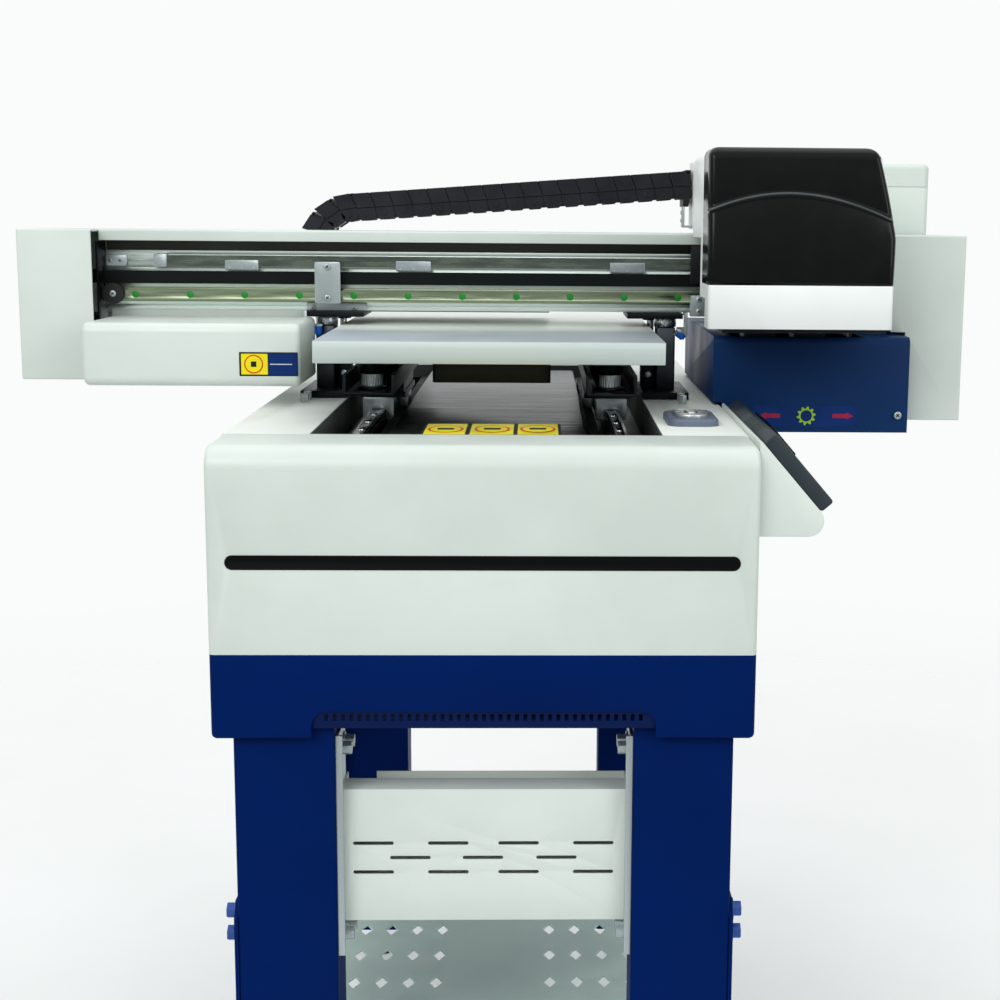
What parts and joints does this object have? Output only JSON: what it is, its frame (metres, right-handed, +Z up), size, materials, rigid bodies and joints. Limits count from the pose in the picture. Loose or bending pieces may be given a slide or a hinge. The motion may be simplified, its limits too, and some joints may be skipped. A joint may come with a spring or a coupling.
{
  "type": "flatbed uv printer",
  "caption": "Small flatbed UV printer on a four-legged stand: a sliding table under a lifting gantry with a travelling print carriage.",
  "frame": {"origin": "on the floor, under the middle of the machine's outer box", "axes": "+X to the machine's right, +Y to its back, +Z up"},
  "size_m": [1.028, 0.8808, 1.13],
  "materials": {
    "white_paint": "satin powder coat",
    "blue_paint": "satin powder coat",
    "grey_paint": "fine powder coat",
    "black_paint": "satin black",
    "aluminium": "brushed",
    "steel": "ground",
    "zinc": "bright zinc plate",
    "black_plastic": "moulded",
    "gloss_black": "polished",
    "slate_plastic": "moulded",
    "silver_key": "satin silver",
    "rubber": "moulded",
    "strip": "clear film",
    "circuit": "circuit board"
  },
  "bodies": {
    "root": {"stand_frame": "blue_paint", "apron": "blue_paint", "leg_brackets": "grey_paint", "slotted_tray": "white_paint", "lower_shelf": "grey_paint", "levelling_feet": "rubber", "stand_bolts": "zinc", "cabinet_body": "white_paint", "front_cover": "white_paint", "front_strip": "gloss_black", "tray_pan": "grey_paint", "y_rails": "steel", "centre_cover": "steel", "y_belts": "rubber", "drive_motors": "black_paint", "electronics": "circuit", "power_inlet": "black_plastic", "keypad_housing": "slate_plastic", "panel_bracket": "white_paint", "control_panel": "slate_plastic", "posts": "black_paint"},
    "bed": {"bed_table": "aluminium", "bed_channels": "black_paint", "bed_carriage": "black_paint", "bed_fan": "black_plastic"},
    "nut_front_left": {"levelling_nut_front_left": "zinc"},
    "nut_front_right": {"levelling_nut_front_right": "zinc"},
    "nut_rear_left": {"levelling_nut_rear_left": "zinc"},
    "nut_rear_right": {"levelling_nut_rear_right": "zinc"},
    "rotor": {"fan_rotor": "black_plastic"},
    "y_drive": {"y_drive_shaft": "steel"},
    "y_idler": {"y_idler_shaft": "steel"},
    "gantry": {"beam": "aluminium", "x_rail": "steel", "x_belt": "rubber", "x_motor": "black_paint", "encoder_strip": "strip", "beam_fittings": "zinc", "beam_covers": "white_paint", "left_cover": "white_paint", "lift_guides": "black_paint", "station_box": "blue_paint", "ink_box": "white_paint", "chain_lower": "black_plastic"},
    "screw_left": {"lift_screw_left": "steel"},
    "screw_right": {"lift_screw_right": "steel"},
    "x_drive": {"x_drive_pulley": "aluminium"},
    "x_idler": {"x_idler_pulley": "aluminium"},
    "carriage": {"carriage_frame": "aluminium", "print_heads": "zinc", "uv_lamp": "black_paint", "carriage_cover": "gloss_black", "carriage_housing": "white_paint", "chain_upper": "black_plastic"},
    "chain_bend": {"chain_loop": "black_plastic"},
    "capping": {"cap_carrier": "rubber"},
    "lid": {"ink_lid": "white_paint"},
    "ring_key": {"key_ring": "silver_key"},
    "middle_key": {"key_centre": "silver_key"},
    "rocker": {"power_rocker": "black_plastic"}
  },
  "joints": [
    {"name": "bed_travel", "type": "slide", "parent": "root", "child": "bed", "axis": [0, 1, 0], "range_m": [-0.25, 0.25]},
    {"name": "gantry_lift", "type": "slide", "parent": "root", "child": "gantry", "axis": [0, 0, 1], "range_m": [0, 0.06]},
    {"name": "carriage_travel", "type": "slide", "parent": "gantry", "child": "carriage", "axis": [1, 0, 0], "range_m": [-0.43, 0], "deforming": ["chain_upper", "chain_lower"]},
    {"name": "chain_bend_travel", "type": "slide", "parent": "gantry", "child": "chain_bend", "axis": [1, 0, 0], "range_m": [-0.216, 0.001]},
    {"name": "level_front_left", "type": "hinge", "parent": "bed", "child": "nut_front_left", "pos_m": [-0.12, -0.205, 0.896], "axis": [0, 0, 1], "continuous": true},
    {"name": "level_front_right", "type": "hinge", "parent": "bed", "child": "nut_front_right", "pos_m": [0.12, -0.205, 0.896], "axis": [0, 0, 1], "continuous": true},
    {"name": "level_rear_left", "type": "hinge", "parent": "bed", "child": "nut_rear_left", "pos_m": [-0.12, 0.205, 0.896], "axis": [0, 0, 1], "continuous": true},
    {"name": "level_rear_right", "type": "hinge", "parent": "bed", "child": "nut_rear_right", "pos_m": [0.12, 0.205, 0.896], "axis": [0, 0, 1], "continuous": true},
    {"name": "fan_spin", "type": "hinge", "parent": "bed", "child": "rotor", "pos_m": [0, -0.138, 0.9055], "axis": [0, 0, 1], "continuous": true},
    {"name": "y_drive_turn", "type": "hinge", "parent": "root", "child": "y_drive", "pos_m": [0, 0.332, 0.836], "axis": [1, 0, 0], "continuous": true},
    {"name": "y_idler_turn", "type": "hinge", "parent": "root", "child": "y_idler", "pos_m": [0, -0.332, 0.836], "axis": [1, 0, 0], "continuous": true},
    {"name": "screw_left_turn", "type": "hinge", "parent": "root", "child": "screw_left", "pos_m": [-0.1765, 0.03, 0.9], "axis": [0, 0, 1], "continuous": true},
    {"name": "screw_right_turn", "type": "hinge", "parent": "root", "child": "screw_right", "pos_m": [0.1765, 0.03, 0.9], "axis": [0, 0, 1], "continuous": true},
    {"name": "x_drive_turn", "type": "hinge", "parent": "gantry", "child": "x_drive", "pos_m": [-0.464, -0.015, 0.991], "axis": [0, 0, 1], "continuous": true},
    {"name": "x_idler_turn", "type": "hinge", "parent": "gantry", "child": "x_idler", "pos_m": [0.464, -0.015, 0.991], "axis": [0, 0, 1], "continuous": true},
    {"name": "capping_lift", "type": "slide", "parent": "gantry", "child": "capping", "axis": [0, 0, 1], "range_m": [0, 0.0115]},
    {"name": "ink_lid_swing", "type": "hinge", "parent": "gantry", "child": "lid", "pos_m": [0.382, 0.2095, 1.099], "axis": [-1, 0, 0], "range_deg": [0, 100]},
    {"name": "ring_key_press", "type": "slide", "parent": "root", "child": "ring_key", "axis": [0, 0, 1], "range_m": [-0.001, 0], "stiffness_N_per_m": 900},
    {"name": "middle_key_press", "type": "slide", "parent": "root", "child": "middle_key", "axis": [0, 0, 1], "range_m": [-0.001, 0], "stiffness_N_per_m": 600},
    {"name": "power_rocker_tip", "type": "hinge", "parent": "root", "child": "rocker", "pos_m": [-0.11, 0.434, 0.727], "axis": [1, 0, 0], "range_deg": [0, 14]}
  ],
  "couplings": [
    {"joint": "y_drive_turn", "follows": "bed_travel", "rad_per_m": -100},
    {"joint": "y_idler_turn", "follows": "bed_travel", "rad_per_m": -100},
    {"joint": "screw_left_turn", "follows": "gantry_lift", "rad_per_m": -1256.6},
    {"joint": "screw_right_turn", "follows": "gantry_lift", "rad_per_m": -1256.6},
    {"joint": "x_drive_turn", "follows": "carriage_travel", "rad_per_m": 76.923},
    {"joint": "x_idler_turn", "follows": "carriage_travel", "rad_per_m": 76.923},
    {"joint": "chain_bend_travel", "follows": "carriage_travel", "ratio": 0.5}
  ]
}
